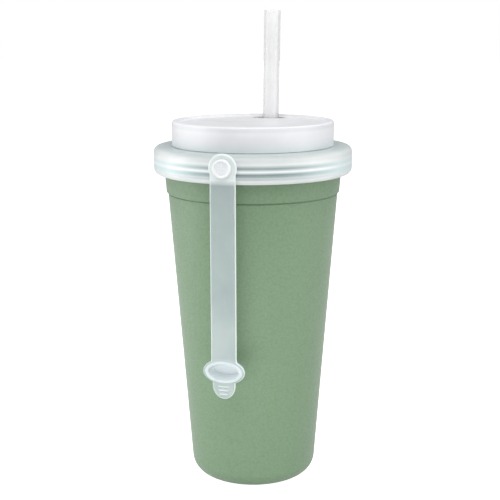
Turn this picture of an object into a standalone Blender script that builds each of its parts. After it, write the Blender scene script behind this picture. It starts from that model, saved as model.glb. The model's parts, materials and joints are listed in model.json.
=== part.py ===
"""Insulated tumbler with a stretch lid, a drinking straw and a swivelling stopper strap.

Metres, +Z up. The origin is the centre of the base, on the surface the cup stands on.
The strap hangs on the -Y side and the straw stands in the lid's opening on the +Y side.
"""
import math

import bmesh
import bpy
from mathutils import Matrix

MM = 0.001
GAP = 0.3                       # clearance between two solids that touch, in mm

# Cup, in mm. The wall is a straight cone with a rounded foot and a wider band at the mouth.
BASE_RADIUS = 33.7              # the cone's radius carried down to the surface
BAND_RADIUS = 46.0              # the cone's radius just under the band
BAND_HEIGHT = 159.7
BAND_STEP = 0.95
TAPER = (BAND_RADIUS - BASE_RADIUS) / BAND_HEIGHT
FOOT_FILLET = 10.0
SHELL_WALL = 1.6
AIR_GAP = 2.4
LINER_WALL = 1.4
SHELL_TOP = 180.6
RIM_RADIUS = 49.5
RIM_HEIGHT = 182.5
FLANGE = 1.6
LINER_FLOOR = 7.5
LINER_FILLET = 7.0
BASE_HOLE = 24.0
BASE_LIP = (1.7, 1.5)           # how far the base plate's lip reaches out, and its thickness

# Lid, in mm. A soft skirt grips the rim, and a stiffer dome sits in the skirt's middle.
SKIRT_RADIUS = 53.6
SKIRT_BOTTOM = 169.9
SKIRT_BORE = 49.95
SKIRT_WALL = 2.0
LIP_RADIUS = 50.5
LIP_ROUNDING = 3.1
BEAD_HEIGHTS = (176.6, 173.2)
LEDGE_TOP = 184.8
NECK_RADIUS = 40.3
NECK_WALL = 1.6
SPIGOT_RADIUS = 41.6
SPIGOT_BOTTOM = 179.6
DOME_RADIUS = 43.8
DOME_TOP = 198.2
DOME_EDGE = 1.3                 # rounding of the raised edge, which is twice as wide
DOME_RECESS = 1.6
DOME_PLATE = 1.8
DOME_WALL = 1.85
OPENING = (9.7, 5.65)           # half width along X, half width along Y
OPENING_Y = 33.5

# Straw, in mm. It leans out, with its foot against the bottom of the liner.
STRAW_RADIUS = 4.53
STRAW_WALL = 0.7
STRAW_X = 1.0
STRAW_LEAN = math.radians(3.6)
STRAW_BELOW = 186.4
STRAW_ABOVE = 59.7

# Stopper strap, in mm. It lies in one plane, outside the skirt.
STUD_HEIGHT = 178.7
STUD_NECK = 2.4
STUD_HEAD = 4.75
STUD_FOOT = 3.2
STUD_SEAT = 52.95               # distance of the foot's inner end from the cup's axis
STRAP_INNER = 54.1              # distance of the strap's inner face from the cup's axis
STRAP_THICK = 1.5
STRAP_WIDTH = 13.6
EYELET_RADIUS = 7.5
FLEX_HEIGHT = 150.0
FOLD_GAP = 1.6
STOPPER_HEIGHT = 73.2
STOPPER_FLANGE = (11.15, 6.55)
PLUG = (9.3, 5.3)
PLUG_RECESS = (7.85, 4.3)
PLUG_DEPTH = 5.0
TAB_HALF_WIDTH = 6.1
TAB_TIP = 58.7
TAB_ROUNDING = 7.2
GRIP_RIBS = 3
CUT_DEPTH = (-58.0, -52.0)      # a cutter through the strap reaches from the first Y to the second

ROUND = 64                      # facets around the cup and the lid
SMALL_ROUND = 32                # facets around the stud, the straw and the ovals


def clear_scene():
    for thing in list(bpy.data.objects):
        bpy.data.objects.remove(thing, do_unlink=True)


def material(name, colour, roughness):
    made = bpy.data.materials.new(name)
    made.use_nodes = True
    shader = made.node_tree.nodes["Principled BSDF"]
    shader.inputs["Base Color"].default_value = (*colour, 1.0)
    shader.inputs["Roughness"].default_value = roughness
    shader.inputs["Metallic"].default_value = 0.0
    return made


def add_object(name, bm, finish=None, smooth=True):
    bmesh.ops.recalc_face_normals(bm, faces=bm.faces)
    mesh = bpy.data.meshes.new(name)
    bm.to_mesh(mesh)
    bm.free()
    made = bpy.data.objects.new(name, mesh)
    bpy.context.scene.collection.objects.link(made)
    if finish:
        mesh.materials.append(finish)
    if smooth:
        mesh.shade_smooth()
        mesh.set_sharp_from_angle(angle=math.radians(35))
    return made


def arc(centre_r, centre_z, radius, start_deg, end_deg, steps):
    points = []
    for step in range(steps + 1):
        angle = math.radians(start_deg + (end_deg - start_deg) * step / steps)
        points.append((centre_r + radius * math.cos(angle), centre_z + radius * math.sin(angle)))
    return points


def turned(name, outline, finish, facets=ROUND):
    """Spin an outline of (radius, height) around Z; it closes on itself or on the axis."""
    bm = bmesh.new()
    verts = [bm.verts.new((r * MM, 0.0, z * MM)) for r, z in outline]
    edges = [bm.edges.new(pair) for pair in zip(verts, verts[1:])]
    if outline[0][0] > 0.0:
        edges.append(bm.edges.new((verts[-1], verts[0])))
    bmesh.ops.spin(bm, geom=verts + edges, cent=(0, 0, 0), axis=(0, 0, 1), angle=math.tau,
                   steps=facets, use_merge=True)
    bmesh.ops.remove_doubles(bm, verts=bm.verts, dist=1e-7)
    return add_object(name, bm, finish)


def plate(name, outline, y_outer, y_inner, finish=None):
    """Extrude an outline of (x, z) along Y, from y_outer in front to y_inner behind."""
    bm = bmesh.new()
    face = bm.faces.new([bm.verts.new((x * MM, y_outer * MM, z * MM)) for x, z in outline])
    grown = bmesh.ops.extrude_face_region(bm, geom=[face])["geom"]
    moved = [item for item in grown if isinstance(item, bmesh.types.BMVert)]
    bmesh.ops.translate(bm, verts=moved, vec=(0, (y_inner - y_outer) * MM, 0))
    return add_object(name, bm, finish, smooth=False)


def oval(half_x, half_z, centre_z=0.0, count=SMALL_ROUND):
    turn = [math.tau * step / count for step in range(count)]
    return [(half_x * math.cos(a), centre_z + half_z * math.sin(a)) for a in turn]


def cut(target, cutter, operation="DIFFERENCE"):
    cutter.hide_render = True
    cutter.display_type = "WIRE"
    modifier = target.modifiers.new(cutter.name, "BOOLEAN")
    modifier.object = cutter
    modifier.operation = operation
    modifier.solver = "EXACT"


def pivot(name, x, y, z):
    empty = bpy.data.objects.new(name, None)
    bpy.context.scene.collection.objects.link(empty)
    empty.location = (x * MM, y * MM, z * MM)
    return empty


def attach(child, parent):
    """Parent a piece to its joint's empty and leave the piece where it was modelled."""
    child.parent = parent
    child.matrix_parent_inverse = Matrix.Translation(-parent.location)


def cone(z):
    return BASE_RADIUS + TAPER * z


def foot_arc(offset, fillet, floor, steps):
    """The rounded foot of a wall set in by offset from the cup's outer cone."""
    slope = math.atan(TAPER)
    middle_z = floor + fillet
    middle_r = cone(middle_z) - offset - fillet / math.cos(slope)
    return arc(middle_r, middle_z, fillet, -90.0, -math.degrees(slope), steps)


def outer_shell(finish):
    band = BAND_RADIUS + BAND_STEP
    top = band + TAPER * (SHELL_TOP - BAND_HEIGHT)
    outside = [(BASE_HOLE, 0.0)]
    outside += foot_arc(0.0, FOOT_FILLET, 0.0, 6)
    outside += [(BAND_RADIUS, BAND_HEIGHT), (band - 0.2, BAND_HEIGHT + 0.7), (band, BAND_HEIGHT + 1.6)]
    outside += [(top - 0.1, SHELL_TOP - 2.3), (RIM_RADIUS, SHELL_TOP - FLANGE), (RIM_RADIUS, SHELL_TOP)]
    inside = [(BASE_HOLE, SHELL_WALL)]
    inside += foot_arc(SHELL_WALL, FOOT_FILLET - SHELL_WALL, SHELL_WALL, 5)
    inside += [(BAND_RADIUS - SHELL_WALL, BAND_HEIGHT), (band - SHELL_WALL, BAND_HEIGHT + 1.6)]
    inside += [(top - SHELL_WALL, SHELL_TOP)]
    return turned("outer_shell", outside + inside[::-1], finish)


def inner_liner(finish):
    outer = SHELL_WALL + AIR_GAP
    inner = outer + LINER_WALL
    under = RIM_HEIGHT - FLANGE
    outside = [(0.0, LINER_FLOOR)] + foot_arc(outer, LINER_FILLET, LINER_FLOOR, 5)
    outside += [(cone(under) - outer, under - 0.8), (cone(under) - outer + 0.8, under)]
    outside += [(RIM_RADIUS - 0.2, under), (RIM_RADIUS, under + 0.2), (RIM_RADIUS, RIM_HEIGHT - 0.5)]
    outside += [(RIM_RADIUS - 0.5, RIM_HEIGHT)]
    floor = LINER_FLOOR + LINER_WALL
    inside = [(0.0, floor)] + foot_arc(inner, LINER_FILLET - LINER_WALL, floor, 4)
    inside += [(cone(RIM_HEIGHT) - inner, RIM_HEIGHT - 0.8), (cone(RIM_HEIGHT) - inner + 0.8, RIM_HEIGHT)]
    return turned("inner_liner", outside + inside[::-1], finish)


def base_plate(finish):
    plug = BASE_HOLE - GAP
    lip = SHELL_WALL + 0.35
    edge = plug + BASE_LIP[0]
    top = lip + BASE_LIP[1]
    outline = [(0.0, 0.0), (plug, 0.0), (plug, lip), (edge, lip), (edge, top), (0.0, top)]
    return turned("base_plate", outline, finish)


def lid_skirt(finish):
    """The soft skirt: a rounded lip, two gripping beads inside, and the ledge over the cup's rim."""
    wall = SKIRT_RADIUS - SKIRT_WALL
    under = RIM_HEIGHT + GAP
    outline = [(SKIRT_BORE, SKIRT_BOTTOM + 0.7), (LIP_RADIUS, SKIRT_BOTTOM)]
    outline += arc(LIP_RADIUS, SKIRT_BOTTOM + LIP_ROUNDING + GAP, LIP_ROUNDING, -68.0, -6.0, 4)
    outline += [(SKIRT_RADIUS, SKIRT_BOTTOM + 4.6)]
    outline += arc(SKIRT_RADIUS - 2.9, LEDGE_TOP - 2.9, 2.9, 0.0, 90.0, 4)
    outline += [(NECK_RADIUS + GAP, LEDGE_TOP), (NECK_RADIUS + GAP, under), (SKIRT_BORE, under)]
    outline += [(wall, under - 1.6)]
    for bead in BEAD_HEIGHTS:
        outline += [(wall, bead + 1.1), (SKIRT_BORE, bead + 0.4), (SKIRT_BORE, bead - 0.4), (wall, bead - 1.1)]
    outline.pop()
    skirt = turned("lid_skirt", outline, finish)
    hole = STUD_FOOT + GAP
    seat = STUD_SEAT - GAP
    pocket_outline = [(0.0, seat), (hole, seat), (hole, SKIRT_RADIUS + 1.4), (0.0, SKIRT_RADIUS + 1.4)]
    pocket = turned("stud_pocket_cutter", pocket_outline, None, SMALL_ROUND)
    pocket.rotation_euler.x = math.radians(90)
    pocket.location.z = STUD_HEIGHT * MM
    cut(skirt, pocket)
    return skirt


def lid_dome(finish):
    """The stiff middle: a spigot in the cup's mouth, a neck for the skirt, and a raised round top."""
    floor = DOME_TOP - DOME_RECESS
    inner = DOME_RADIUS - DOME_WALL
    bore = NECK_RADIUS - NECK_WALL
    underside = floor - DOME_PLATE
    outline = [(0.0, underside), (inner - 1.2, underside), (inner, underside - 1.2), (inner, LEDGE_TOP + 2.4)]
    outline += [(bore, LEDGE_TOP), (bore, SPIGOT_BOTTOM), (SPIGOT_RADIUS - 0.3, SPIGOT_BOTTOM)]
    outline += [(SPIGOT_RADIUS, SPIGOT_BOTTOM + 0.3), (SPIGOT_RADIUS, RIM_HEIGHT), (NECK_RADIUS, RIM_HEIGHT)]
    outline += [(NECK_RADIUS, LEDGE_TOP + GAP), (DOME_RADIUS, LEDGE_TOP + GAP)]
    outline += arc(DOME_RADIUS - DOME_EDGE, DOME_TOP - DOME_EDGE, DOME_EDGE, 0.0, 180.0, 6)[:-1]
    outline += [(DOME_RADIUS - 2 * DOME_EDGE - 0.1, floor), (0.0, floor)]
    dome = turned("lid_dome", outline, finish)
    bm = bmesh.new()
    ring = [bm.verts.new((x * MM, (OPENING_Y + y) * MM, (underside - 2.0) * MM)) for x, y in oval(*OPENING)]
    grown = bmesh.ops.extrude_face_region(bm, geom=[bm.faces.new(ring)])["geom"]
    moved = [item for item in grown if isinstance(item, bmesh.types.BMVert)]
    bmesh.ops.translate(bm, verts=moved, vec=(0, 0, (DOME_PLATE + 4.0) * MM))
    cut(dome, add_object("opening_cutter", bm))
    return dome


def lid_stud(finish):
    """The mushroom stud: a foot in the skirt's pocket, a neck for the eyelet, and a dished head."""
    under_head = STRAP_INNER + STRAP_THICK + 0.35
    top = under_head + 1.45
    shoulder = STUD_SEAT + 0.8
    outline = [(0.0, STUD_SEAT), (STUD_FOOT, STUD_SEAT), (STUD_FOOT, shoulder), (STUD_NECK, shoulder)]
    outline += [(STUD_NECK, under_head)]
    outline += [(STUD_HEAD - 0.35, under_head), (STUD_HEAD, under_head + 0.35), (STUD_HEAD, top - 0.4)]
    outline += [(STUD_HEAD - 0.35, top), (STUD_HEAD - 0.85, top), (STUD_HEAD - 1.15, top - 0.4), (0.0, top - 0.4)]
    stud = turned("lid_stud", outline, finish, SMALL_ROUND)
    stud.rotation_euler.x = math.radians(90)
    stud.location.z = STUD_HEIGHT * MM
    return stud


def strap_eyelet(finish):
    """The strap's round head, with the hole that turns on the stud, down to where the strap bends."""
    half = STRAP_WIDTH / 2
    dip = math.degrees(math.acos(half / EYELET_RADIUS))
    outline = arc(0.0, STUD_HEIGHT, EYELET_RADIUS, -dip, 180.0 + dip, 24)
    outline += [(-half, FLEX_HEIGHT + FOLD_GAP / 2), (half, FLEX_HEIGHT + FOLD_GAP / 2)]
    eyelet = plate("strap_eyelet", outline, -STRAP_INNER - STRAP_THICK, -STRAP_INNER, finish)
    hole = plate("eyelet_cutter", oval(STUD_NECK + 0.4, STUD_NECK + 0.4, STUD_HEIGHT), *CUT_DEPTH)
    cut(eyelet, hole)
    return eyelet


def strap_band(finish):
    half = STRAP_WIDTH / 2
    top = FLEX_HEIGHT - FOLD_GAP / 2
    outline = [(-half, STOPPER_HEIGHT), (half, STOPPER_HEIGHT), (half, top), (-half, top)]
    return plate("strap_band", outline, -STRAP_INNER - STRAP_THICK, -STRAP_INNER, finish)


def stopper(finish):
    """The oval stopper: a flange, a hollow plug towards the cup and a raised rim round its mouth."""
    face = -STRAP_INNER - STRAP_THICK
    back = -STRAP_INNER
    (fx, fz), (px, pz), (rx, rz) = STOPPER_FLANGE, PLUG, PLUG_RECESS
    tip = back + PLUG_DEPTH
    rings = [(rx - 0.4, rz - 0.4, tip - 1.2), (rx, rz, tip - 1.6), (rx, rz, face - 0.5)]
    rings += [(px - 0.1, pz - 0.1, face - 0.5), (px + 0.1, pz + 0.1, face)]
    rings += [(fx - 0.3, fz - 0.3, face), (fx, fz, face + 0.3), (fx, fz, back - 0.3), (fx - 0.3, fz - 0.3, back)]
    rings += [(px, pz, back), (px, pz, tip - 2.1), (px + 0.25, pz + 0.25, tip - 1.4), (px - 0.5, pz - 0.5, tip)]
    bm = bmesh.new()
    loops = []
    for half_x, half_z, y in rings:
        points = oval(half_x, half_z, STOPPER_HEIGHT)
        loops.append([bm.verts.new((x * MM, y * MM, z * MM)) for x, z in points])
    for lower, upper in zip(loops, loops[1:]):
        for i in range(SMALL_ROUND):
            j = (i + 1) % SMALL_ROUND
            bm.faces.new((lower[i], lower[j], upper[j], upper[i]))
    bm.faces.new(loops[0])
    bm.faces.new(loops[-1])
    return add_object("stopper", bm, finish)


def pull_tab(finish):
    """The tongue below the stopper, with finger ribs across its outer face."""
    face = -STRAP_INNER - STRAP_THICK
    bend = TAB_TIP + TAB_ROUNDING
    tongue = [(TAB_HALF_WIDTH, STOPPER_HEIGHT), (-TAB_HALF_WIDTH, STOPPER_HEIGHT)]
    for step in range(17):
        angle = math.pi + math.pi * step / 16
        tongue.append((TAB_HALF_WIDTH * math.cos(angle), bend + TAB_ROUNDING * math.sin(angle)))
    tab = plate("pull_tab", tongue, face, -STRAP_INNER, finish)
    for rib in range(GRIP_RIBS):
        z = TAB_TIP + 2.6 + 2.0 * rib
        half = 2.4 + 0.5 * rib
        bar = [(-half, z - 0.4), (half, z - 0.4), (half, z + 0.4), (-half, z + 0.4)]
        cut(tab, plate(f"grip_rib_{rib}", bar, face - 0.4, face + 0.5), "UNION")
    return tab


def clear_of_stopper(*pieces):
    """Shape the strap's and the tab's ends to the stopper's flange, one gap away from it."""
    fx, fz = STOPPER_FLANGE
    cutter = plate("stopper_cutter", oval(fx + GAP, fz + GAP, STOPPER_HEIGHT), *CUT_DEPTH)
    for piece in pieces:
        cut(piece, cutter)


def straw(finish):
    bore = STRAW_RADIUS - STRAW_WALL
    outline = [(bore, -STRAW_BELOW), (STRAW_RADIUS, -STRAW_BELOW), (STRAW_RADIUS, STRAW_ABOVE), (bore, STRAW_ABOVE)]
    tube = turned("straw", outline, finish, SMALL_ROUND)
    tube.rotation_euler.x = -STRAW_LEAN
    return tube


def build():
    clear_scene()
    green = material("sage_green_plastic", (0.23, 0.32, 0.20), 0.55)
    skirt_finish = material("frosted_soft_plastic", (0.80, 0.84, 0.84), 0.42)
    dome_finish = material("milky_stiff_plastic", (0.84, 0.85, 0.87), 0.38)
    strap_finish = material("frosted_strap_plastic", (0.62, 0.72, 0.71), 0.40)
    straw_finish = material("frosted_straw_plastic", (0.88, 0.88, 0.89), 0.35)

    outer_shell(green)
    inner_liner(green)
    base_plate(green)

    lid_axis = pivot("lid_lift_axis", 0.0, 0.0, RIM_HEIGHT)
    for piece in (lid_skirt(skirt_finish), lid_dome(dome_finish), lid_stud(strap_finish)):
        attach(piece, lid_axis)

    middle = -STRAP_INNER - STRAP_THICK / 2
    swivel = pivot("strap_swivel_axis", 0.0, middle, STUD_HEIGHT)
    flex = pivot("strap_flex_axis", 0.0, middle, FLEX_HEIGHT)
    attach(strap_eyelet(strap_finish), swivel)
    band = strap_band(strap_finish)
    tab = pull_tab(strap_finish)
    clear_of_stopper(band, tab)
    for piece in (band, stopper(strap_finish), tab):
        attach(piece, flex)

    slide = pivot("straw_slide_axis", STRAW_X, OPENING_Y, DOME_TOP - DOME_RECESS)
    tube = straw(straw_finish)
    tube.location = slide.location
    attach(tube, slide)


build()
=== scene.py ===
import json
import math

import bmesh
import bpy
from mathutils import Matrix, Vector


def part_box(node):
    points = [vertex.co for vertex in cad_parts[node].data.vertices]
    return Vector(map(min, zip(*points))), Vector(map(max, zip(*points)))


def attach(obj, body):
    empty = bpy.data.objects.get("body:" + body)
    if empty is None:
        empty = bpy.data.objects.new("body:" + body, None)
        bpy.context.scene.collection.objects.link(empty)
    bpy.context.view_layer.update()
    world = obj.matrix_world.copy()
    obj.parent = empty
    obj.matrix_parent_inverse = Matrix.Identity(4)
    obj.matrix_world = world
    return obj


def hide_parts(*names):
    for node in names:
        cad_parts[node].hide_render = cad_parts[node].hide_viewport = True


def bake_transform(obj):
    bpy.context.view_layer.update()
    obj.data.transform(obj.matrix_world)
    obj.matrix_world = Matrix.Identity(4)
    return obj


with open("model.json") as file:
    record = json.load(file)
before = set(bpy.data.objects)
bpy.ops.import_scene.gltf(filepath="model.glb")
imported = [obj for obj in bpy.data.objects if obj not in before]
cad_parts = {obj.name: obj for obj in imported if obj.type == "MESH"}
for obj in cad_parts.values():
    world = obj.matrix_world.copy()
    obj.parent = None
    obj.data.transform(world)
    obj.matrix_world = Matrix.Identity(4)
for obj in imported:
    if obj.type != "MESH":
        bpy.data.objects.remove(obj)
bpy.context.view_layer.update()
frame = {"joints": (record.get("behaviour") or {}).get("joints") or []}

MM = 0.001


# ---------------------------------------------------------------- outer shell
# The outer wall is one deep moulding in sage green plastic: a straight taper, a rounded
# foot, and a slightly wider band above a fine groove. Its mould was etched, so the
# outside carries a matt pebble grain. It is welded to the liner at the rim.

CONE_FOOT_RADIUS = 33.7
CONE_TOP_RADIUS = 46.0
CONE_TOP = 159.7
BAND_STEP = 0.95
GROOVE_DEPTH = 0.3
FOOT_ROUNDING = 10.0
SHELL_WALL = 1.6
FOOT_HOLE = 24.0
RIM_FLANGE = 1.6
TAPER = (CONE_TOP_RADIUS - CONE_FOOT_RADIUS) / CONE_TOP
SAGE_DARK = (0.124, 0.208, 0.117, 1.0)
SAGE_LIGHT = (0.156, 0.247, 0.147, 1.0)
SAGE_WORN = (0.270, 0.370, 0.255, 1.0)


def in_mm(corner):
    return Vector(corner) / MM


def rounded_outline(corners, closed=True, steps=7):
    """Turn (across, up, rounding) corners into an outline whose corners are arcs."""
    outline = []
    last = len(corners) - 1
    for i, (across, up, rounding) in enumerate(corners):
        corner = Vector((across, up))
        if rounding == 0.0 or (not closed and i in (0, last)):
            outline.append((across, up))
            continue
        back = (Vector(corners[i - 1][:2]) - corner).normalized()
        ahead = (Vector(corners[(i + 1) % len(corners)][:2]) - corner).normalized()
        half = back.angle(ahead) / 2
        centre = corner + (back + ahead).normalized() * (rounding / math.sin(half))
        first = corner + back * (rounding / math.tan(half)) - centre
        second = corner + ahead * (rounding / math.tan(half)) - centre
        sweep = first.angle(second)
        for step in range(steps + 1):
            part = step / steps
            spoke = first * math.sin((1 - part) * sweep) + second * math.sin(part * sweep)
            outline.append(tuple(centre + spoke / math.sin(sweep)))
    return outline


def finish_mesh(name, bm, finish, sharp_deg=40):
    bmesh.ops.remove_doubles(bm, verts=bm.verts, dist=1e-7)
    bmesh.ops.recalc_face_normals(bm, faces=bm.faces)
    if bm.calc_volume(signed=True) < 0.0:
        bmesh.ops.reverse_faces(bm, faces=bm.faces)
    mesh = bpy.data.meshes.new(name)
    bm.to_mesh(mesh)
    bm.free()
    mesh.materials.append(finish)
    mesh.shade_smooth()
    mesh.set_sharp_from_angle(angle=math.radians(sharp_deg))
    piece = bpy.data.objects.new(name, mesh)
    bpy.context.scene.collection.objects.link(piece)
    return piece


def turned(name, outline, finish, closed=True, facets=224):
    """Turn an outline of (radius, height) in mm round the cup's axis."""
    bm = bmesh.new()
    rings = []
    for turn in range(facets):
        angle = math.tau * turn / facets
        across = Vector((math.cos(angle), math.sin(angle), 0.0)) * MM
        rings.append([bm.verts.new(across * r + Vector((0, 0, z * MM))) for r, z in outline])
    count = len(outline)
    for turn in range(facets):
        near, far = rings[turn], rings[(turn + 1) % facets]
        for i in range(count if closed else count - 1):
            j = (i + 1) % count
            corners = [near[i], far[i], far[j], near[j]]
            if outline[i][0] == 0.0:
                corners = [near[i], far[j], near[j]]
            elif outline[j][0] == 0.0:
                corners = [near[i], far[i], near[j]]
            bm.faces.new(corners)
    return finish_mesh(name, bm, finish)


def add_node(tree, kind, inputs=None, **settings):
    made = tree.nodes.new(kind)
    for key, value in settings.items():
        setattr(made, key, value)
    for key, value in (inputs or {}).items():
        if isinstance(value, bpy.types.NodeSocket):
            tree.links.new(value, made.inputs[key])
        else:
            made.inputs[key].default_value = value
    return made


def new_group(name, inputs, outputs):
    group = bpy.data.node_groups.new(name, "ShaderNodeTree")
    for label, value in inputs.items():
        socket = group.interface.new_socket(label, in_out="INPUT", socket_type="NodeSocketFloat")
        socket.default_value = value
    for label in outputs:
        group.interface.new_socket(label, in_out="OUTPUT", socket_type="NodeSocketFloat")
    return group, group.nodes.new("NodeGroupInput").outputs, group.nodes.new("NodeGroupOutput")


def etched_grain_group():
    """Fine pebble grain of an etched mould: a height and a mask of its high spots."""
    group, given, result = new_group("etched_grain", {"Grain Scale": 1500.0},
                                     ("Height", "High Spots"))
    place = add_node(group, "ShaderNodeTexCoord").outputs["Object"]
    pebble = add_node(group, "ShaderNodeTexNoise", {"Vector": place, "Scale": given["Grain Scale"],
                                                    "Detail": 2.0, "Roughness": 0.55})
    coarse_scale = add_node(group, "ShaderNodeMath", {0: given["Grain Scale"], 1: 0.31},
                            operation="MULTIPLY")
    cell = add_node(group, "ShaderNodeTexVoronoi", {"Vector": place, "Scale": coarse_scale.outputs[0]},
                    feature="SMOOTH_F1")
    cell.inputs["Smoothness"].default_value = 0.6
    half_cell = add_node(group, "ShaderNodeMath", {0: cell.outputs["Distance"], 1: 0.45},
                         operation="MULTIPLY")
    height = add_node(group, "ShaderNodeMath", {0: pebble.outputs["Fac"], 1: half_cell.outputs[0]},
                      operation="SUBTRACT")
    spots = add_node(group, "ShaderNodeMapRange", {"Value": height.outputs[0],
                                                   "From Min": 0.12, "From Max": 0.48})
    group.links.new(height.outputs[0], result.inputs["Height"])
    group.links.new(spots.outputs["Result"], result.inputs["High Spots"])
    return group


def cloudy_group():
    """Slow, cloudy change over a moulding, from how the melt flowed and cooled."""
    group, given, result = new_group("cloudy_melt", {"Cloud Scale": 30.0}, ("Cloud",))
    place = add_node(group, "ShaderNodeTexCoord").outputs["Object"]
    cloud = add_node(group, "ShaderNodeTexNoise", {"Vector": place, "Scale": given["Cloud Scale"],
                                                   "Detail": 3.0, "Roughness": 0.5, "Distortion": 0.4})
    spread = add_node(group, "ShaderNodeMapRange", {"Value": cloud.outputs["Fac"],
                                                    "From Min": 0.3, "From Max": 0.7})
    group.links.new(spread.outputs["Result"], result.inputs["Cloud"])
    return group


def handling_group():
    """Marks of handling: short fine scuffs in patches, where the finish is rubbed."""
    group, given, result = new_group("handling_marks", {"Mark Scale": 60.0}, ("Scuffs",))
    place = add_node(group, "ShaderNodeTexCoord").outputs["Object"]
    drawn_out = add_node(group, "ShaderNodeMapping", {"Vector": place, "Rotation": (0.3, 0.2, 0.5),
                                                      "Scale": (1.0, 9.0, 14.0)})
    scratch = add_node(group, "ShaderNodeTexNoise", {"Vector": drawn_out.outputs["Vector"],
                                                     "Scale": given["Mark Scale"], "Detail": 4.0})
    thin = add_node(group, "ShaderNodeMapRange", {"Value": scratch.outputs["Fac"],
                                                  "From Min": 0.62, "From Max": 0.72})
    patch = add_node(group, "ShaderNodeTexNoise", {"Vector": place, "Scale": 22.0, "Detail": 2.0})
    where = add_node(group, "ShaderNodeMapRange", {"Value": patch.outputs["Fac"],
                                                   "From Min": 0.48, "From Max": 0.62})
    both = add_node(group, "ShaderNodeMath", {0: thin.outputs["Result"], 1: where.outputs["Result"]},
                    operation="MULTIPLY")
    group.links.new(both.outputs[0], result.inputs["Scuffs"])
    return group


def rubbed_edge_group():
    """Convex edges, where a moulding is rubbed paler by tables, hands and washing."""
    group, given, result = new_group("rubbed_edges", {"Reach": 0.04}, ("Rubbed",))
    bend = add_node(group, "ShaderNodeNewGeometry").outputs["Pointiness"]
    limit = add_node(group, "ShaderNodeMath", {0: given["Reach"], 1: 0.5}, operation="ADD")
    edge = add_node(group, "ShaderNodeMapRange", {"Value": bend, "From Min": 0.505,
                                                  "From Max": limit.outputs[0]})
    group.links.new(edge.outputs["Result"], result.inputs["Rubbed"])
    return group


ETCHED_GRAIN = etched_grain_group()
CLOUDY_MELT = cloudy_group()
HANDLING_MARKS = handling_group()
RUBBED_EDGES = rubbed_edge_group()


def use_group(tree, group, **inputs):
    made = tree.nodes.new("ShaderNodeGroup")
    made.node_tree = group
    for label, value in inputs.items():
        made.inputs[label.replace("_", " ")].default_value = value
    return made


def new_finish(name):
    finish = bpy.data.materials.new(name)
    finish.use_nodes = True
    return finish, finish.node_tree, finish.node_tree.nodes["Principled BSDF"]


def mix_colours(tree, factor, first, second):
    mix = add_node(tree, "ShaderNodeMix", data_type="RGBA")
    for socket, value in zip((mix.inputs[0], mix.inputs[6], mix.inputs[7]), (factor, first, second)):
        if isinstance(value, bpy.types.NodeSocket):
            tree.links.new(value, socket)
        else:
            socket.default_value = value
    return mix.outputs[2]


def scaled(tree, value, low, high):
    """Spread a 0 to 1 mask over the range from low to high."""
    spread = add_node(tree, "ShaderNodeMapRange", {"Value": value, "To Min": low, "To Max": high})
    return spread.outputs["Result"]


def sage_finish(name, grain_scale, grain_depth, roughness):
    """Sage green plastic; the grain is deep on the outside and nearly smooth inside."""
    finish, tree, shader = new_finish(name)
    grain = use_group(tree, ETCHED_GRAIN, Grain_Scale=grain_scale)
    cloud = use_group(tree, CLOUDY_MELT, Cloud_Scale=26.0)
    marks = use_group(tree, HANDLING_MARKS, Mark_Scale=70.0)
    edges = use_group(tree, RUBBED_EDGES, Reach=0.05)
    speckled = mix_colours(tree, grain.outputs["High Spots"], SAGE_DARK, SAGE_LIGHT)
    clouded = mix_colours(tree, scaled(tree, cloud.outputs["Cloud"], 0.0, 0.14), speckled, SAGE_LIGHT)
    scuffed = mix_colours(tree, scaled(tree, marks.outputs["Scuffs"], 0.0, 0.10), clouded, SAGE_WORN)
    rubbed = mix_colours(tree, scaled(tree, edges.outputs["Rubbed"], 0.0, 0.35), scuffed, SAGE_WORN)
    tree.links.new(rubbed, shader.inputs["Base Color"])
    tree.links.new(scaled(tree, grain.outputs["High Spots"], roughness + 0.07, roughness - 0.05),
                   shader.inputs["Roughness"])
    bump = add_node(tree, "ShaderNodeBump", {"Height": grain.outputs["Height"], "Distance": grain_depth,
                                             "Strength": 0.7})
    tree.links.new(bump.outputs["Normal"], shader.inputs["Normal"])
    shader.inputs["IOR"].default_value = 1.48
    shader.inputs["Sheen Weight"].default_value = 0.32
    shader.inputs["Sheen Roughness"].default_value = 0.45
    return finish


shell_high = in_mm(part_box("outer_shell")[1])
rim_radius = shell_high.x
shell_top = shell_high.z
band_foot = CONE_TOP_RADIUS + BAND_STEP
band_top = band_foot + TAPER * (shell_top - CONE_TOP)

shell_outline = rounded_outline([
    (FOOT_HOLE, 0.0, 0.25),
    (CONE_FOOT_RADIUS, 0.0, FOOT_ROUNDING),
    (CONE_TOP_RADIUS, CONE_TOP - 0.8, 0.2),
    (CONE_TOP_RADIUS - GROOVE_DEPTH, CONE_TOP - 0.45, 0.1),
    (CONE_TOP_RADIUS - GROOVE_DEPTH, CONE_TOP + 0.1, 0.1),
    (band_foot, CONE_TOP + 0.25, 0.3),
    (band_top - 0.1, shell_top - 2.3, 0.5),
    (rim_radius, shell_top - RIM_FLANGE, 0.4),
    (rim_radius, shell_top, 0.3),
    (band_top - SHELL_WALL, shell_top, 0.2),
    (band_foot - SHELL_WALL, CONE_TOP + 1.4, 0.6),
    (CONE_TOP_RADIUS - SHELL_WALL, CONE_TOP - 0.8, 0.6),
    (CONE_FOOT_RADIUS - SHELL_WALL + 0.1, SHELL_WALL, FOOT_ROUNDING - SHELL_WALL),
    (FOOT_HOLE, SHELL_WALL, 0.25),
], steps=12)
outer_shell = turned("outer_shell_skin", shell_outline,
                     sage_finish("sage_etched_outside", 2600.0, 0.00006, 0.52), facets=288)
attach(outer_shell, "cup")
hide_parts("outer_shell")


# ---------------------------------------------------------------- inner liner
# The liner holds the drink: a second moulding inside the shell, with an air gap between
# them to insulate. It is polished inside, and its rolled rim is welded on the shell's top.

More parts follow.
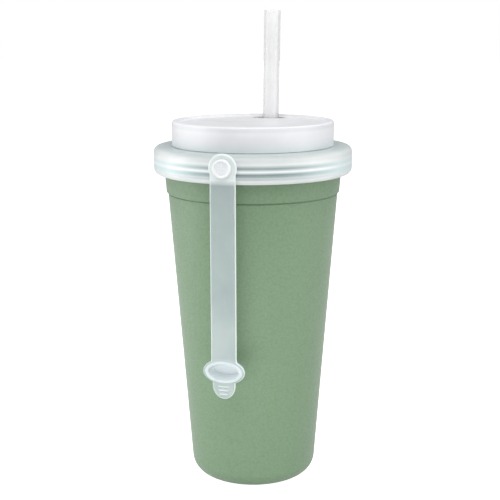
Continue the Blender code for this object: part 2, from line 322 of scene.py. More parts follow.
LINER_INSET = 4.0
LINER_WALL = 1.4
LINER_ROUNDING = 7.0

liner_low, liner_high = (in_mm(corner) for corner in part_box("inner_liner"))
liner_floor = liner_low.z
rim_top = liner_high.z
liner_under = rim_top - RIM_FLANGE
inner_inset = LINER_INSET + LINER_WALL


def cone_radius(height):
    return CONE_FOOT_RADIUS + TAPER * height


liner_outline = rounded_outline([
    (0.0, liner_floor, 0.0),
    (cone_radius(liner_floor) - LINER_INSET, liner_floor, LINER_ROUNDING),
    (cone_radius(liner_under) - LINER_INSET, liner_under, 1.0),
    (rim_radius, liner_under, 0.5),
    (rim_radius, rim_top, 0.75),
    (cone_radius(rim_top) - inner_inset, rim_top, 0.7),
    (cone_radius(liner_floor) - inner_inset, liner_floor + LINER_WALL, LINER_ROUNDING - LINER_WALL),
    (0.0, liner_floor + LINER_WALL, 0.0),
], closed=False, steps=9)
inner_liner = turned("inner_liner_skin", liner_outline,
                     sage_finish("sage_polished_inside", 700.0, 0.000015, 0.36), closed=False)
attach(inner_liner, "cup")
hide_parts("inner_liner")


# ---------------------------------------------------------------- base plate
# A thin disc closes the shell's foot. It is pressed in from inside and welded round its
# edge; a shallow ring, a raised circle and the small gate mark of its moulding show.

BASE_PLUG = FOOT_HOLE - 0.3
BASE_LIP_HEIGHT = 1.95

base_high = in_mm(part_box("base_plate")[1])
base_outline = rounded_outline([
    (0.0, 0.35, 0.0), (1.3, 0.35, 0.1), (1.6, 0.0, 0.1), (13.0, 0.0, 0.2), (13.4, 0.35, 0.15),
    (14.6, 0.35, 0.15), (15.0, 0.0, 0.2), (BASE_PLUG, 0.0, 0.3), (BASE_PLUG, BASE_LIP_HEIGHT, 0.15),
    (base_high.x, BASE_LIP_HEIGHT, 0.3), (base_high.x, base_high.z, 0.3), (0.0, base_high.z, 0.0),
], closed=False, steps=4)
base_plate = turned("base_plate_skin", base_outline,
                    sage_finish("sage_etched_base", 1350.0, 0.00006, 0.6), closed=False, facets=160)
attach(base_plate, "cup")
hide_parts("base_plate")


# ---------------------------------------------------------------- lid skirt
# The skirt is a soft, frosted ring that stretches over the cup's rim. Its wall is thick
# at two gripping beads, the lip and the shoulder, and thin between them, where the cup
# shows through as dark hoops that also carry a painted cool shade. Its beads are painted
# lighter, and its top-lit ledge carries painted shade.

LIP_BORE = 48.2
BEAD_BORE = 49.95
SKIRT_WALL = 2.0
NECK_RADIUS = 40.3
BEAD_HEIGHTS = (176.6, 173.2)
FROST = (0.63, 0.67, 0.675, 1.0)
FROST_PALE = (0.735, 0.76, 0.755, 1.0)
# painted cool shade for the thin hoops, standing in for the shadow and refraction there
FROST_PAINTED_COOL_SHADE = (0.50, 0.68, 0.70, 1.0)
LIGHTEST = 1.2


def frosted_finish(name, colour, pale, roughness, cover, grain_strength=0.5):
    """Frosted translucent plastic; cover is how much one wall surface hides what is behind it."""
    finish, tree, shader = new_finish(name)
    grain = use_group(tree, ETCHED_GRAIN, Grain_Scale=2300.0)
    cloud = use_group(tree, CLOUDY_MELT, Cloud_Scale=45.0)
    marks = use_group(tree, HANDLING_MARKS, Mark_Scale=90.0)
    edges = use_group(tree, RUBBED_EDGES, Reach=0.06)
    clouded = mix_colours(tree, cloud.outputs["Cloud"], colour, pale)
    rubbed = mix_colours(tree, scaled(tree, edges.outputs["Rubbed"], 0.0, 0.8), clouded, pale)
    tree.links.new(rubbed, shader.inputs["Base Color"])
    uneven = scaled(tree, cloud.outputs["Cloud"], roughness - 0.04, roughness + 0.04)
    scuffed = scaled(tree, marks.outputs["Scuffs"], 0.0, 0.12)
    worn = add_node(tree, "ShaderNodeMath", {0: uneven, 1: scuffed}, operation="ADD")
    tree.links.new(worn.outputs[0], shader.inputs["Roughness"])
    tree.links.new(scaled(tree, cloud.outputs["Cloud"], cover - 0.03, cover + 0.03), shader.inputs["Alpha"])
    bump = add_node(tree, "ShaderNodeBump", {"Height": grain.outputs["Height"], "Distance": 0.00003,
                                             "Strength": grain_strength})
    tree.links.new(bump.outputs["Normal"], shader.inputs["Normal"])
    shader.inputs["IOR"].default_value = 1.43
    return finish, tree, shader, rubbed


def height_ramp(tree, low, high, stops):
    """A colour that changes with height; each stop is a height in mm and its colour."""
    place = add_node(tree, "ShaderNodeTexCoord").outputs["Object"]
    up = add_node(tree, "ShaderNodeSeparateXYZ", {"Vector": place}).outputs["Z"]
    along = add_node(tree, "ShaderNodeMapRange", {"Value": up, "From Min": low * MM,
                                                  "From Max": high * MM})
    ramp_node = add_node(tree, "ShaderNodeValToRGB", {"Fac": along.outputs["Result"]})
    ramp = ramp_node.color_ramp
    while len(ramp.elements) < len(stops):
        ramp.elements.new(0.5)
    for element, (height, colour) in zip(ramp.elements, stops):
        element.position = (height - low) / (high - low)
        element.color = colour
    return ramp_node.outputs["Color"]


def hooped_skirt_finish(low, high):
    """The skirt's own finish: clearer where its wall is thin, milky where it is thick, with painted light on
    the beads and painted shade on the top-lit ledge.
    """
    finish, tree, shader, rubbed = frosted_finish("frosted_skirt", FROST, FROST_PALE, 0.36, 0.7)
    # height, how much the wall hides, how much painted light (above 1) or painted shade (below 1) the wall
    # gets
    wall = (
        (170.6, 0.86, 1.0), (171.8, 0.86, 1.05), (172.9, 0.56, 1.0), (173.6, 0.66, 1.0),
        (174.3, 0.38, 1.0), (175.4, 0.28, 1.0), (176.2, 0.74, 1.0), (176.8, 0.95, 1.1),
        (177.4, 0.70, 1.0), (178.1, 0.38, 1.0), (178.6, 0.38, 1.0), (180.3, 0.86, 1.0),
        (183.0, 0.74, 0.85), (184.6, 0.55, 0.72),
    )
    stops = [(height, (cover, shade / LIGHTEST, 0.0, 1.0)) for height, cover, shade in wall]
    parts = add_node(tree, "ShaderNodeSeparateColor", {"Color": height_ramp(tree, low, high, stops)})
    cover = parts.outputs["Red"]
    slant = add_node(tree, "ShaderNodeLayerWeight", {"Blend": 0.5}).outputs["Facing"]
    long_way = add_node(tree, "ShaderNodeMapRange", {"Value": slant, "From Min": 0.05, "From Max": 0.5})
    hidden = add_node(tree, "ShaderNodeMix", {0: long_way.outputs["Result"], 2: cover, 3: 0.9})
    tree.links.new(hidden.outputs[0], shader.inputs["Alpha"])
    # painted shade: where the wall is thin it is tinted cool, standing in for the shadow and refraction
    # there
    thin = add_node(tree, "ShaderNodeMapRange", {"Value": cover, "From Min": 0.7, "From Max": 0.3})
    cool_shade_painted = mix_colours(tree, scaled(tree, thin.outputs["Result"], 0.0, 0.75), rubbed, FROST_PAINTED_COOL_SHADE)
    # painted light and painted shade: the colour is scaled up on the beads and down on the top-lit ledge
    shade = add_node(tree, "ShaderNodeMath", {0: parts.outputs["Green"], 1: LIGHTEST},
                     operation="MULTIPLY")
    shaded = add_node(tree, "ShaderNodeVectorMath", {0: cool_shade_painted, 1: shade.outputs[0]},
                      operation="MULTIPLY")
    tree.links.new(shaded.outputs[0], shader.inputs["Base Color"])
    return finish


skirt_low, skirt_high = (in_mm(corner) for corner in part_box("lid_skirt"))
skirt_radius = skirt_high.x
lip_bottom = skirt_low.z
ledge_top = skirt_high.z
ledge_under = rim_top + 0.3
skirt_inside = skirt_radius - SKIRT_WALL

skirt_corners = [
    (LIP_BORE, lip_bottom + 0.9, 0.5),
    (50.0, lip_bottom, 0.7),
    (skirt_radius, lip_bottom + 0.2, 3.1),
    (skirt_radius, ledge_top, 3.0),
    (NECK_RADIUS + 0.15, ledge_top, 0.15),
    (NECK_RADIUS + 0.15, ledge_under, 0.3),
    (BEAD_BORE + 0.3, ledge_under, 0.6),
    (skirt_inside, ledge_under - 1.6, 0.6),
]
for bead in BEAD_HEIGHTS:
    skirt_corners += [(skirt_inside, bead + 1.1, 0.4), (BEAD_BORE, bead + 0.45, 0.35)]
    skirt_corners += [(BEAD_BORE, bead - 0.45, 0.35), (skirt_inside, bead - 1.1, 0.4)]
skirt_corners[-1] = (skirt_inside - 0.6, BEAD_HEIGHTS[-1] - 1.3, 0.3)
lid_skirt = turned("lid_skirt_skin", rounded_outline(skirt_corners, steps=8),
                   hooped_skirt_finish(lip_bottom, ledge_top), facets=288)
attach(lid_skirt, "lid")
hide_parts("lid_skirt")


# ---------------------------------------------------------------- lid dome
# The dome is the lid's stiff, milky middle. A spigot centres it in the cup's mouth, the
# skirt's inner edge sits in its neck, and its flat top lies below a rounded raised edge.
# An oval opening at the back, with a low lip round it, takes the straw or the stopper.

DOME_WALL = 1.85
DOME_RECESS = 1.6
SPIGOT_RADIUS = 41.6
SPIGOT_FOOT = 179.6
TOP_THICKNESS = 1.8
OPENING_X = 9.7
OPENING_Y = 5.65
OPENING_CENTRE = 33.5
MILKY = (0.74, 0.745, 0.77, 1.0)
MILKY_PALE = (0.79, 0.795, 0.81, 1.0)
# painted reflection of the green ledge below, on the dome's foot
DOME_FOOT_PAINTED_REFLECTION = (0.68, 0.75, 0.76, 1.0)
DOME_WALL_TINT = (0.79, 0.795, 0.815, 1.0)
# painted shade on the dome's top-lit top and raised edge
DOME_TOP_PAINTED_SHADE = (0.70, 0.705, 0.725, 1.0)


def milky_dome_finish():
    """The dome's milky finish, with painted shade darkening its top-lit top and raised edge, and a painted
    reflection of the green ledge cooling its foot.
    """
    finish, tree, shader, rubbed = frosted_finish("milky_dome", MILKY, MILKY_PALE, 0.46, 0.86)
    # the foot carries a painted reflection and the top and raised edge carry painted shade
    stops = ((184.9, DOME_FOOT_PAINTED_REFLECTION), (190.5, DOME_WALL_TINT), (194.6, DOME_WALL_TINT),
             (195.8, DOME_TOP_PAINTED_SHADE))
    wall_tint_and_painted_light = height_ramp(tree, ledge_top, dome_top, stops)
    tree.links.new(mix_colours(tree, 0.8, rubbed, wall_tint_and_painted_light), shader.inputs["Base Color"])
    return finish


def oval_ring(bm, half_x, half_y, centre_y, z, count=96):
    turns = [math.tau * i / count for i in range(count)]
    return [bm.verts.new((half_x * math.cos(a) * MM, (centre_y + half_y * math.sin(a)) * MM, z * MM))
            for a in turns]


def bridge(bm, first, second):
    count = len(first)
    for i in range(count):
        j = (i + 1) % count
        bm.faces.new((first[i], first[j], second[j], second[i]))


def cut_hole(piece, cutter):
    """Cut the cutter's shape out of the piece for good, and throw the cutter away."""
    modifier = piece.modifiers.new("hole", "BOOLEAN")
    modifier.object = cutter
    modifier.solver = "MANIFOLD"
    evaluated = piece.evaluated_get(bpy.context.evaluated_depsgraph_get())
    mesh = bpy.data.meshes.new_from_object(evaluated)
    piece.modifiers.clear()
    piece.data = mesh
    bpy.data.objects.remove(cutter)
    mesh.set_sharp_from_angle(angle=math.radians(40))


dome_high = in_mm(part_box("lid_dome")[1])
dome_radius = dome_high.x
dome_top = dome_high.z
dome_floor = dome_top - DOME_RECESS
dome_under = dome_floor - TOP_THICKNESS
dome_inside = dome_radius - DOME_WALL
neck_bore = NECK_RADIUS - 1.6
milky_finish = milky_dome_finish()

dome_outline = rounded_outline([
    (0.0, dome_under, 0.0),
    (dome_inside, dome_under, 1.2),
    (dome_inside, ledge_top + 2.4, 0.8),
    (neck_bore, ledge_top, 0.8),
    (neck_bore, SPIGOT_FOOT, 0.5),
    (SPIGOT_RADIUS, SPIGOT_FOOT, 0.6),
    (SPIGOT_RADIUS, rim_top, 0.3),
    (NECK_RADIUS, rim_top, 0.15),
    (NECK_RADIUS, ledge_top + 0.1, 0.1),
    (dome_radius - 0.1, ledge_top + 0.1, 0.35),
    (dome_radius, dome_top - 1.0, 0.0),
    (dome_radius - 0.05, dome_top, 1.1),
    (dome_radius - 2.4, dome_top, 0.9),
    (dome_radius - 3.1, dome_floor, 0.8),
    (0.0, dome_floor, 0.0),
], closed=False, steps=8)
lid_dome = turned("lid_dome_skin", dome_outline, milky_finish, closed=False, facets=288)
drill = bmesh.new()
drill_foot = oval_ring(drill, OPENING_X, OPENING_Y, OPENING_CENTRE, dome_under - 3.0)
drill_head = oval_ring(drill, OPENING_X, OPENING_Y, OPENING_CENTRE, dome_floor + 3.0)
bridge(drill, drill_foot, drill_head)
drill.faces.new(drill_foot)
drill.faces.new(drill_head)
cut_hole(lid_dome, finish_mesh("opening_drill", drill, milky_finish))

lip = bmesh.new()
lip_section = rounded_outline([
    (-0.25, -2.15, 0.15), (-0.25, 0.16, 0.15), (0.75, 0.16, 0.12), (0.95, -0.05, 0.08),
    (0.1, -0.05, 0.0), (0.1, -1.75, 0.0), (0.8, -1.75, 0.1), (0.8, -2.15, 0.15),
], steps=4)
lip_rings = [oval_ring(lip, OPENING_X + out, OPENING_Y + out, OPENING_CENTRE, dome_floor + up)
             for out, up in lip_section]
for ring, following in zip(lip_rings, lip_rings[1:] + lip_rings[:1]):
    bridge(lip, ring, following)
opening_lip = finish_mesh("opening_lip", lip, milky_finish)
for piece in (lid_dome, opening_lip):
    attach(piece, "lid")
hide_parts("lid_dome")


# ---------------------------------------------------------------- stud
# A round mushroom stud stands out of the skirt and holds the strap's eyelet. Its head
# is dished inside a raised ring, with a faint cross left by the mould's ejector.

STUD_NECK = 2.4
STUD_FOOT = 3.2
STUD_RING = 1.0
CROSS_ARM = 2.6
CROSS_HALF_WIDTH = 0.3
STUD_TINT = (0.70, 0.725, 0.75, 1.0)
STUD_PALE = (0.86, 0.88, 0.89, 1.0)

stud_low, stud_high = (in_mm(corner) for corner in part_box("lid_stud"))
stud_height = (stud_low.z + stud_high.z) / 2
stud_head = stud_high.x
stud_front = -stud_low.y
strap_low, strap_high = (in_mm(corner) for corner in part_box("strap_eyelet"))
strap_face = strap_low.y
strap_back = strap_high.y
eyelet_radius = strap_high.x
stud_finish = frosted_finish("frosted_stud", STUD_TINT, STUD_PALE, 0.3, 0.8)[0]

stud_outline = rounded_outline([
    (0.0, skirt_radius - 0.6, 0.0), (STUD_FOOT, skirt_radius - 0.6, 0.1),
    (STUD_FOOT, -strap_back - 0.3, 0.2),
    (STUD_NECK, -strap_back - 0.3, 0.2), (STUD_NECK, -strap_face + 0.2, 0.3),
    (stud_head, -strap_face + 0.2, 0.3), (stud_head, stud_front, 0.55),
    (stud_head - STUD_RING, stud_front, 0.35), (stud_head - STUD_RING - 0.35, stud_front - 0.55, 0.35),
    (0.0, stud_front - 0.45, 0.0),
], closed=False, steps=6)
lid_stud = turned("lid_stud_skin", stud_outline, stud_finish, closed=False, facets=96)
facing = Matrix.Translation((0, 0, stud_height * MM)) @ Matrix.Rotation(math.radians(90), 4, "X")
lid_stud.data.transform(facing)

cross = bmesh.new()
for long_x, long_z in ((CROSS_ARM, CROSS_HALF_WIDTH), (CROSS_HALF_WIDTH, CROSS_ARM)):
    bar = bmesh.ops.create_cube(cross, size=2.0)["verts"]
    bmesh.ops.scale(cross, verts=bar, vec=(long_x * MM, 0.25 * MM, long_z * MM))
    bmesh.ops.translate(cross, verts=bar, vec=(0, -(stud_front - 0.56) * MM, stud_height * MM))
bmesh.ops.bevel(cross, geom=cross.edges[:], offset=0.12 * MM, segments=2, affect="EDGES")
stud_cross = finish_mesh("stud_cross", cross, stud_finish)
for piece in (lid_stud, stud_cross):
    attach(piece, "lid")
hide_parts("lid_stud")


# ---------------------------------------------------------------- strap
# The strap is one soft frosted moulding. Its round eyelet turns on the stud, and its
# flat band hangs down the cup's side. A thin raised line runs just inside its edge.

EDGE_LINE = 0.75
EDGE_LINE_HALF = 0.4
EDGE_LINE_RISE = 0.14
RIB_RISE = 0.45
FLARE_WIDTH = 0.9
FLARE_HEIGHT = 3.0
EYELET_HOLE = STUD_NECK + 0.35
STRAP_TINT = (0.41, 0.48, 0.50, 1.0)
STRAP_PALE = (0.50, 0.56, 0.58, 1.0)
# paler edge colour, also used as painted light over the lid and as a painted highlight on the tab's ribs
STRAP_EDGE_AND_PAINTED_LIGHT = (0.73, 0.79, 0.78, 1.0)

stopper_low, stopper_high = (in_mm(corner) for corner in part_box("stopper"))
band_half_width = in_mm(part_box("strap_band")[1]).x
stopper_height = (stopper_low.z + stopper_high.z) / 2
flange_x = stopper_high.x
flange_z = (stopper_high.z - stopper_low.z) / 2
strap_middle = (strap_face + strap_back) / 2
half_thick = (strap_back - strap_face) / 2


def strap_finish(name, tint, edge_and_painted_light_tint, cover):
    """The frosted finish of the strap and stopper: paler and denser along the moulded edge, and paler where
    painted light and painted highlights are marked on the piece.
    """
    finish, tree, shader, rubbed = frosted_finish(name, tint, STRAP_PALE, 0.38, cover)
    edge_and_painted_light_mask = add_node(tree, "ShaderNodeAttribute", attribute_name="edge_and_painted_light").outputs["Fac"]
    tree.links.new(mix_colours(tree, edge_and_painted_light_mask, rubbed, edge_and_painted_light_tint), shader.inputs["Base Color"])
    tree.links.new(scaled(tree, edge_and_painted_light_mask, cover, 0.80), shader.inputs["Alpha"])
    return finish


def edge_drop(depth):
    """How far a face has fallen towards the middle plane, this deep in from a round edge."""
    if depth >= half_thick:
        return 0.0
    short = half_thick - max(depth, 0.0)
    return half_thick - math.sqrt(half_thick ** 2 - short ** 2)


def edge_line(depth):
    """The low raised line moulded just inside the edge."""
    off = abs(depth - EDGE_LINE) / EDGE_LINE_HALF
    return EDGE_LINE_RISE * math.cos(off * math.pi / 2) ** 2 if off < 1.0 else 0.0


def flat_moulding(name, rows, half_width, end_shift, depth_in, relief, finish):
    """A flat soft moulding: rows of heights, each as wide as half_width says, with round edges.

    depth_in(x, z) is the distance in from the edge, and relief(x, z) what stands on the face.
    """
    steps_in = (0.0, 0.05, 0.13, 0.24, 0.38, 0.55, 0.75, 0.95, 1.15, 1.45, 2.0, 3.0, 4.2, 5.4)
    across = [-1.0 + step / band_half_width for step in steps_in] + [0.0]
    across += [-part for part in across[-2::-1]]
    bm = bmesh.new()
    edge_and_painted_light_amount = bm.verts.layers.float.new("edge_and_painted_light")
    faces = {1: [], -1: []}
    for z in rows:
        for side, grid in faces.items():
            line = []
            for part in across:
                x = part * half_width(z)
                shifted = z + end_shift(x, z)
                depth = depth_in(x, z)
                out = half_thick - edge_drop(depth)
                if side == 1:
                    out += edge_line(depth) + relief(x, shifted)
                vert = bm.verts.new((x * MM, (strap_middle - side * out) * MM, shifted * MM))
                # painted light: the strap is painted paler where it lies over the lid, against the shade in
                # the gap between strap and skirt
                painted_light_over_lid = max(0.0, min(1.0, (z - lip_bottom) / 3.0))
                # painted highlight: the tab's ribs are painted paler
                painted_highlight_on_rib = 0.7 * relief(x, shifted) / RIB_RISE
                vert[edge_and_painted_light_amount] = max(0.95 * painted_light_over_lid, painted_highlight_on_rib, min(1.0, 1.0 - (depth - 0.2) / 0.35))
                line.append(vert)
            grid.append(line)
    for grid in faces.values():
        for upper, lower in zip(grid, grid[1:]):
            for i in range(len(across) - 1):
                bm.faces.new((upper[i], upper[i + 1], lower[i + 1], lower[i]))
    for end in (0, -1):
        front, behind = faces[1][end], faces[-1][end]
        for i in range(len(across) - 1):
            bm.faces.new((front[i], front[i + 1], behind[i + 1], behind[i]))
    bmesh.ops.remove_doubles(bm, verts=bm.verts, dist=2e-6)
    bmesh.ops.dissolve_degenerate(bm, edges=bm.edges[:], dist=1e-7)
    return finish_mesh(name, bm, finish, sharp_deg=50)


def strap_half_width(z):
    above = z - stud_height
    round_part = math.sqrt(max(eyelet_radius ** 2 - above ** 2, 0.0))
    if above >= 0.0:
        return round_part
    flare = max(0.0, 1.0 - (z - stopper_height - flange_z + 1.2) / FLARE_HEIGHT)
    return max(round_part, band_half_width) + FLARE_WIDTH * flare ** 2


def strap_depth(x, z):
    in_eyelet = eyelet_radius - math.hypot(x, z - stud_height)
    in_band = strap_half_width(z) - abs(x) if z < stud_height else -1.0
    return max(in_eyelet, in_band, 0.0)


def flange_edge(x):
    """Height of the stopper's upper edge above its middle, at this distance from the centre line."""
    return flange_z * math.sqrt(max(1.0 - (x / flange_x) ** 2, 0.0))


def strap_end_shift(x, z):
    near = max(0.0, min(1.0, (95.0 - z) / 14.0))
    return (flange_edge(x) - flange_z) * near ** 2


strap_foot = stopper_height + flange_z - 0.25
eyelet_rows = [stud_height + eyelet_radius * math.cos(math.radians(3.0 * step)) for step in range(30)]
band_rows = [stud_height - 0.4 * step for step in range(12)]
band_steps = 96
band_top_row = band_rows[-1] - 0.4
band_rows += [band_top_row + (strap_foot - band_top_row) * step / band_steps
              for step in range(band_steps + 1)]
soft_strap = strap_finish("frosted_strap", STRAP_TINT, STRAP_EDGE_AND_PAINTED_LIGHT, 0.46)
strap = flat_moulding("strap_band_and_eyelet", eyelet_rows + band_rows, strap_half_width,
                      strap_end_shift, strap_depth, lambda x, z: 0.0, soft_strap)
punch = bmesh.new()
bmesh.ops.create_cone(punch, cap_ends=True, segments=72, radius1=EYELET_HOLE * MM,
                      radius2=EYELET_HOLE * MM, depth=8.0 * MM)
punch_place = Matrix.Translation((0, strap_middle * MM, stud_height * MM))
bmesh.ops.transform(punch, verts=punch.verts, matrix=punch_place @ Matrix.Rotation(math.radians(90), 4, "X"))
cut_hole(strap, finish_mesh("eyelet_punch", punch, soft_strap))
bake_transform(strap)
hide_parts("strap_eyelet", "strap_band")


# ---------------------------------------------------------------- stopper
# The stopper is the strap's oval end. A hollow plug on its back presses into the lid's
# opening, a flange stops it, and a raised rim round the hollow stiffens it.

RIM_OUTSIDE = (9.8, 5.8)
RIM_INSIDE = (8.2, 4.35)
RIM_RISE = 0.5
PLUG = (9.3, 5.3)
FLOOR_THICKNESS = 1.2
STOPPER_TINT = (0.44, 0.51, 0.53, 1.0)
# paler edge colour, also painted light in the stopper's hollow and a painted highlight on its rim
STOPPER_EDGE_AND_PAINTED_LIGHT = (0.80, 0.85, 0.89, 1.0)


def stopper_outline():
    """The stopper's outline from the hollow's floor, round the rim and flange, to the plug's tip.

    The first number runs along the long half of the oval and the second along its depth.
    """
    tip = stopper_high.y
    rim_out, rim_in, plug = RIM_OUTSIDE[0], RIM_INSIDE[0], PLUG[0]
    return rounded_outline([
        (rim_in - 3.0, tip - FLOOR_THICKNESS, 0.0), (rim_in - 1.5, tip - FLOOR_THICKNESS, 1.2),
        (rim_in, strap_face - RIM_RISE, 0.35), (rim_out, strap_face - RIM_RISE, 0.45),
        (rim_out + 0.25, strap_face, 0.15), (rim_out + 0.4, strap_face, 0.0),
        (flange_x - 0.6, strap_face, 0.0),
        (flange_x, strap_face, 0.5), (flange_x, strap_back, 0.5), (flange_x - 0.6, strap_back, 0.0),
        (plug, strap_back, 0.3), (plug, tip - 2.2, 0.3), (plug + 0.25, tip - 1.4, 0.3),
        (plug - 0.6, tip, 0.4), (plug - 1.4, tip, 0.0),
    ], closed=False, steps=6)


def across_for(along):
    """Half depth of the oval whose half length is given, so every ring keeps an even wall."""
    known = ((0.0, -4.0), RIM_INSIDE, RIM_OUTSIDE, (flange_x, flange_z))
    for (low_x, low_z), (high_x, high_z) in zip(known, known[1:]):
        if along <= high_x:
            break
    return low_z + (high_z - low_z) * (along - low_x) / (high_x - low_x)


oval_bm = bmesh.new()
oval_edge_and_painted_light = oval_bm.verts.layers.float.new("edge_and_painted_light")
oval_rings = []
for long_half, y in stopper_outline():
    on_plug = y > strap_back + 0.05 and long_half > PLUG[0] - 1.5
    short_half = long_half - PLUG[0] + PLUG[1] if on_plug else across_for(long_half)
    # painted highlight on the raised rim, painted light in the hollow against its shade, and the paler dense
    # outer edge
    on_rim = RIM_INSIDE[0] - 0.1 < long_half < RIM_OUTSIDE[0] + 0.1 and y < strap_face + 1.0
    edge_and_painted_light_amount = 0.45 if on_rim else 0.0
    if long_half > flange_x - 0.2:
        edge_and_painted_light_amount = 0.8
    elif long_half < RIM_INSIDE[0] + 0.1 and y > strap_face:
        edge_and_painted_light_amount = 0.85 if y < stopper_high.y - FLOOR_THICKNESS - 0.6 else 0.6
    ring = []
    for step in range(120):
        angle = math.tau * step / 120
        x = long_half * math.cos(angle)
        z = stopper_height + short_half * math.sin(angle)
        vert = oval_bm.verts.new((x * MM, y * MM, z * MM))
        vert[oval_edge_and_painted_light] = edge_and_painted_light_amount
        ring.append(vert)
    oval_rings.append(ring)
for ring, following in zip(oval_rings, oval_rings[1:]):
    bridge(oval_bm, ring, following)
oval_bm.faces.new(oval_rings[0])
oval_bm.faces.new(oval_rings[-1])
stopper_finish = strap_finish("frosted_stopper", STOPPER_TINT, STOPPER_EDGE_AND_PAINTED_LIGHT, 0.5)
stopper = finish_mesh("stopper_skin", oval_bm, stopper_finish)
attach(stopper, "strap_tail")
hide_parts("stopper")


# ---------------------------------------------------------------- pull tab
# A rounded tongue below the stopper gives a finger something to pull. Three short
# moulded ribs cross its face for grip, each a little wider than the one below it.

RIB_HALF_HEIGHT = 0.5
RIB_BOW = 0.0175

tab_low, tab_high = (in_mm(corner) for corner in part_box("pull_tab"))
tab_half_width = tab_high.x
tab_tip = tab_low.z
tab_bend = tab_tip + 7.2
ribs = [(tab_tip + 2.6 + 2.0 * number, 2.4 + 0.5 * number) for number in range(3)]


def tab_half_width_at(z):
    if z > tab_bend:
        flare = max(0.0, (z - tab_bend) / 1.6)
        return tab_half_width - 0.02 * (z - tab_bend) + 0.35 * flare ** 2
    return tab_half_width * math.sqrt(max(1.0 - ((tab_bend - z) / (tab_bend - tab_tip)) ** 2, 0.0))


def tab_depth(x, z):
    if z > tab_bend:
        return max(tab_half_width_at(z) - abs(x), 0.0)
    reach = math.hypot(x / tab_half_width, (tab_bend - z) / (tab_bend - tab_tip))
    return max((1.0 - reach) * (tab_half_width + tab_bend - tab_tip) / 2, 0.0)


def tab_top_shift(x, z):
    near = max(0.0, min(1.0, (z - tab_bend) / (tab_root - tab_bend)))
    return (flange_z - flange_edge(x)) * near


def grip(x, z):
    rise = 0.0
    for height, half_length in ribs:
        bow = height + RIB_BOW * x * x
        off = abs(z - bow) / RIB_HALF_HEIGHT
        if off < 1.0 and abs(x) < half_length:
            ends = min(1.0, (half_length - abs(x)) / 0.6)
            rise = RIB_RISE * math.cos(off * math.pi / 2) ** 2 * math.sqrt(ends)
    return rise


tab_root = stopper_height - flange_z + 0.25
tab_rows = [tab_root + (tab_bend - tab_root) * step / 6 for step in range(6)]
tab_rows += [tab_bend - (tab_bend - tab_tip) * math.sin(math.radians(90.0 * step / 52))
             for step in range(53)]
pull_tab = flat_moulding("pull_tab_skin", tab_rows, tab_half_width_at, tab_top_shift, tab_depth,
                         grip, soft_strap)
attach(pull_tab, "strap_tail")
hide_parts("pull_tab")


# ---------------------------------------------------------------- straw
# A wide reusable straw, extruded in frosted plastic and cut square, its ends softened
# by tumbling. It leans in the opening, its foot against the bottom of the liner.

STRAW_WALL = 0.7
STRAW_TINT = (0.83, 0.83, 0.835, 1.0)
STRAW_PALE = (0.85, 0.85, 0.855, 1.0)
# painted shade for the straw's sides
STRAW_SIDE_PAINTED_SHADE = (0.60, 0.60, 0.605, 1.0)

straw_low, straw_high = (in_mm(corner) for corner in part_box("straw"))
straw_radius = (straw_high.x - straw_low.x) / 2
slide = next(joint for joint in frame["joints"] if joint["name"] == "straw_slide")
lean = Vector(slide["axis"]).normalized()
straw_foot = Vector(((straw_low.x + straw_high.x) / 2, straw_low.y + straw_radius * lean.z,
                     straw_low.z + straw_radius * lean.y))
straw_length = (straw_high.z - straw_low.z - 2 * straw_radius * lean.y) / lean.z
straw_bore = straw_radius - STRAW_WALL
straw_outline = rounded_outline([
    (straw_bore, 0.0, 0.2), (straw_radius, 0.0, 0.25), (straw_radius, straw_length, 0.25),
    (straw_bore, straw_length, 0.2),
], steps=5)
straw_finish, straw_tree, straw_shader, straw_colour = frosted_finish(
    "frosted_straw", STRAW_TINT, STRAW_PALE, 0.3, 0.5, grain_strength=0.2)
# painted shade: the straw's colour darkens towards the sides that turn away from the camera
straw_side_shade_mask = add_node(straw_tree, "ShaderNodeLayerWeight", {"Blend": 0.5}).outputs["Facing"]
straw_painted_shade = mix_colours(straw_tree, straw_side_shade_mask, straw_colour, STRAW_SIDE_PAINTED_SHADE)
straw_tree.links.new(straw_painted_shade, straw_shader.inputs["Base Color"])
straw = turned("straw_skin", straw_outline, straw_finish, facets=96)
straw_turn = Vector((0, 0, 1)).rotation_difference(lean).to_matrix().to_4x4()
straw.data.transform(Matrix.Translation(straw_foot * MM) @ straw_turn)
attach(straw, "straw")
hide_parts("straw")


# ---------------------------------------------------------------- studio
# A white sweep, two tall soft boxes at the sides, one above and in front, a low fill
# strip and an even white surround: the light of a plain catalogue table.

CAMERA_DISTANCE = 0.6212
CAMERA_HEIGHT = 0.2524
CAMERA_AZIMUTH = math.radians(16.0)
CAMERA_PITCH = math.radians(11.447)
CAMERA_YAW = math.radians(-0.157)
CAMERA_ROLL = math.radians(-0.17)
CAMERA_LENS = 82.74

floor_bm = bmesh.new()
bmesh.ops.create_grid(floor_bm, x_segments=1, y_segments=1, size=6.0)
floor_finish, floor_tree, floor_shader = new_finish("white_sweep")
floor_shader.inputs["Base Color"].default_value = (0.60, 0.60, 0.60, 1.0)
floor_shader.inputs["Roughness"].default_value = 0.9
floor_shader.inputs["Specular IOR Level"].default_value = 0.0
floor_shader.inputs["Emission Color"].default_value = (1.0, 1.0, 1.0, 1.0)
seen = add_node(floor_tree, "ShaderNodeLightPath").outputs["Is Camera Ray"]
floor_tree.links.new(seen, floor_shader.inputs["Emission Strength"])
floor = finish_mesh("studio_floor", floor_bm, floor_finish)

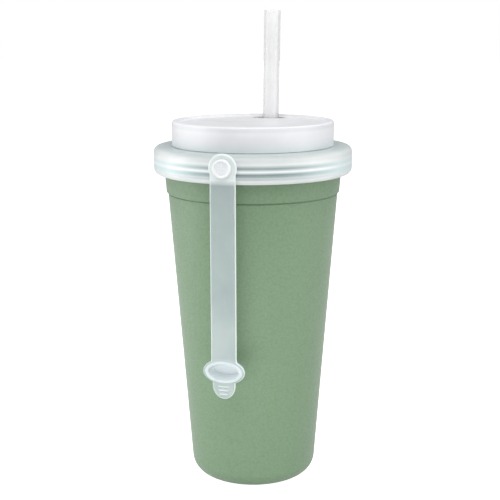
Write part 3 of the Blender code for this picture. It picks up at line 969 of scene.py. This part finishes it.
world = bpy.data.worlds.new("even_white_surround")
bpy.context.scene.world = world
world.use_nodes = True
surround = world.node_tree.nodes["Background"]
surround.inputs["Color"].default_value = (1.0, 1.0, 1.0, 1.0)
world_seen = add_node(world.node_tree, "ShaderNodeLightPath").outputs["Is Camera Ray"]
world_strength = scaled(world.node_tree, world_seen, 0.40, 1.0)
world.node_tree.links.new(world_strength, surround.inputs["Strength"])


def soft_box(name, place, size, power):
    lamp = bpy.data.lights.new(name, "AREA")
    lamp.shape = "RECTANGLE"
    lamp.size, lamp.size_y = size
    lamp.energy = power
    made = bpy.data.objects.new(name, lamp)
    bpy.context.scene.collection.objects.link(made)
    made.location = place
    made.visible_camera = False
    made.rotation_euler = (Vector((0, 0, 0.11)) - Vector(place)).to_track_quat("-Z", "Y").to_euler()


right = Vector((math.cos(CAMERA_AZIMUTH), math.sin(CAMERA_AZIMUTH), 0.0))
towards = Vector((math.sin(CAMERA_AZIMUTH), -math.cos(CAMERA_AZIMUTH), 0.0))
soft_box("left_soft_box", -right * 0.75 + towards * 0.02 + Vector((0, 0, 0.10)), (0.45, 0.7), 5.0)
soft_box("right_soft_box", right * 0.80 + towards * 0.30 + Vector((0, 0, 0.20)), (0.5, 0.9), 4.9)
soft_box("top_soft_box", towards * 0.42 + Vector((0, 0, 1.0)), (1.0, 0.8), 10.0)
soft_box("low_front_fill", towards * 0.20 - right * 0.05 + Vector((0, 0, 0.02)), (0.3, 0.03), 0.21)

camera_data = bpy.data.cameras.new("catalogue_camera")
camera_data.lens = CAMERA_LENS
camera_data.sensor_width = 36.0
camera_data.clip_start = 0.02
camera = bpy.data.objects.new("catalogue_camera", camera_data)
bpy.context.scene.collection.objects.link(camera)
camera.location = towards * CAMERA_DISTANCE + Vector((0, 0, CAMERA_HEIGHT))
camera.rotation_euler = (Matrix.Rotation(CAMERA_AZIMUTH - CAMERA_YAW, 4, "Z")
                         @ Matrix.Rotation(math.radians(90) - CAMERA_PITCH, 4, "X")
                         @ Matrix.Rotation(CAMERA_ROLL, 4, "Z")).to_euler()
bpy.context.scene.camera = camera
bpy.context.scene.view_settings.view_transform = "Standard"
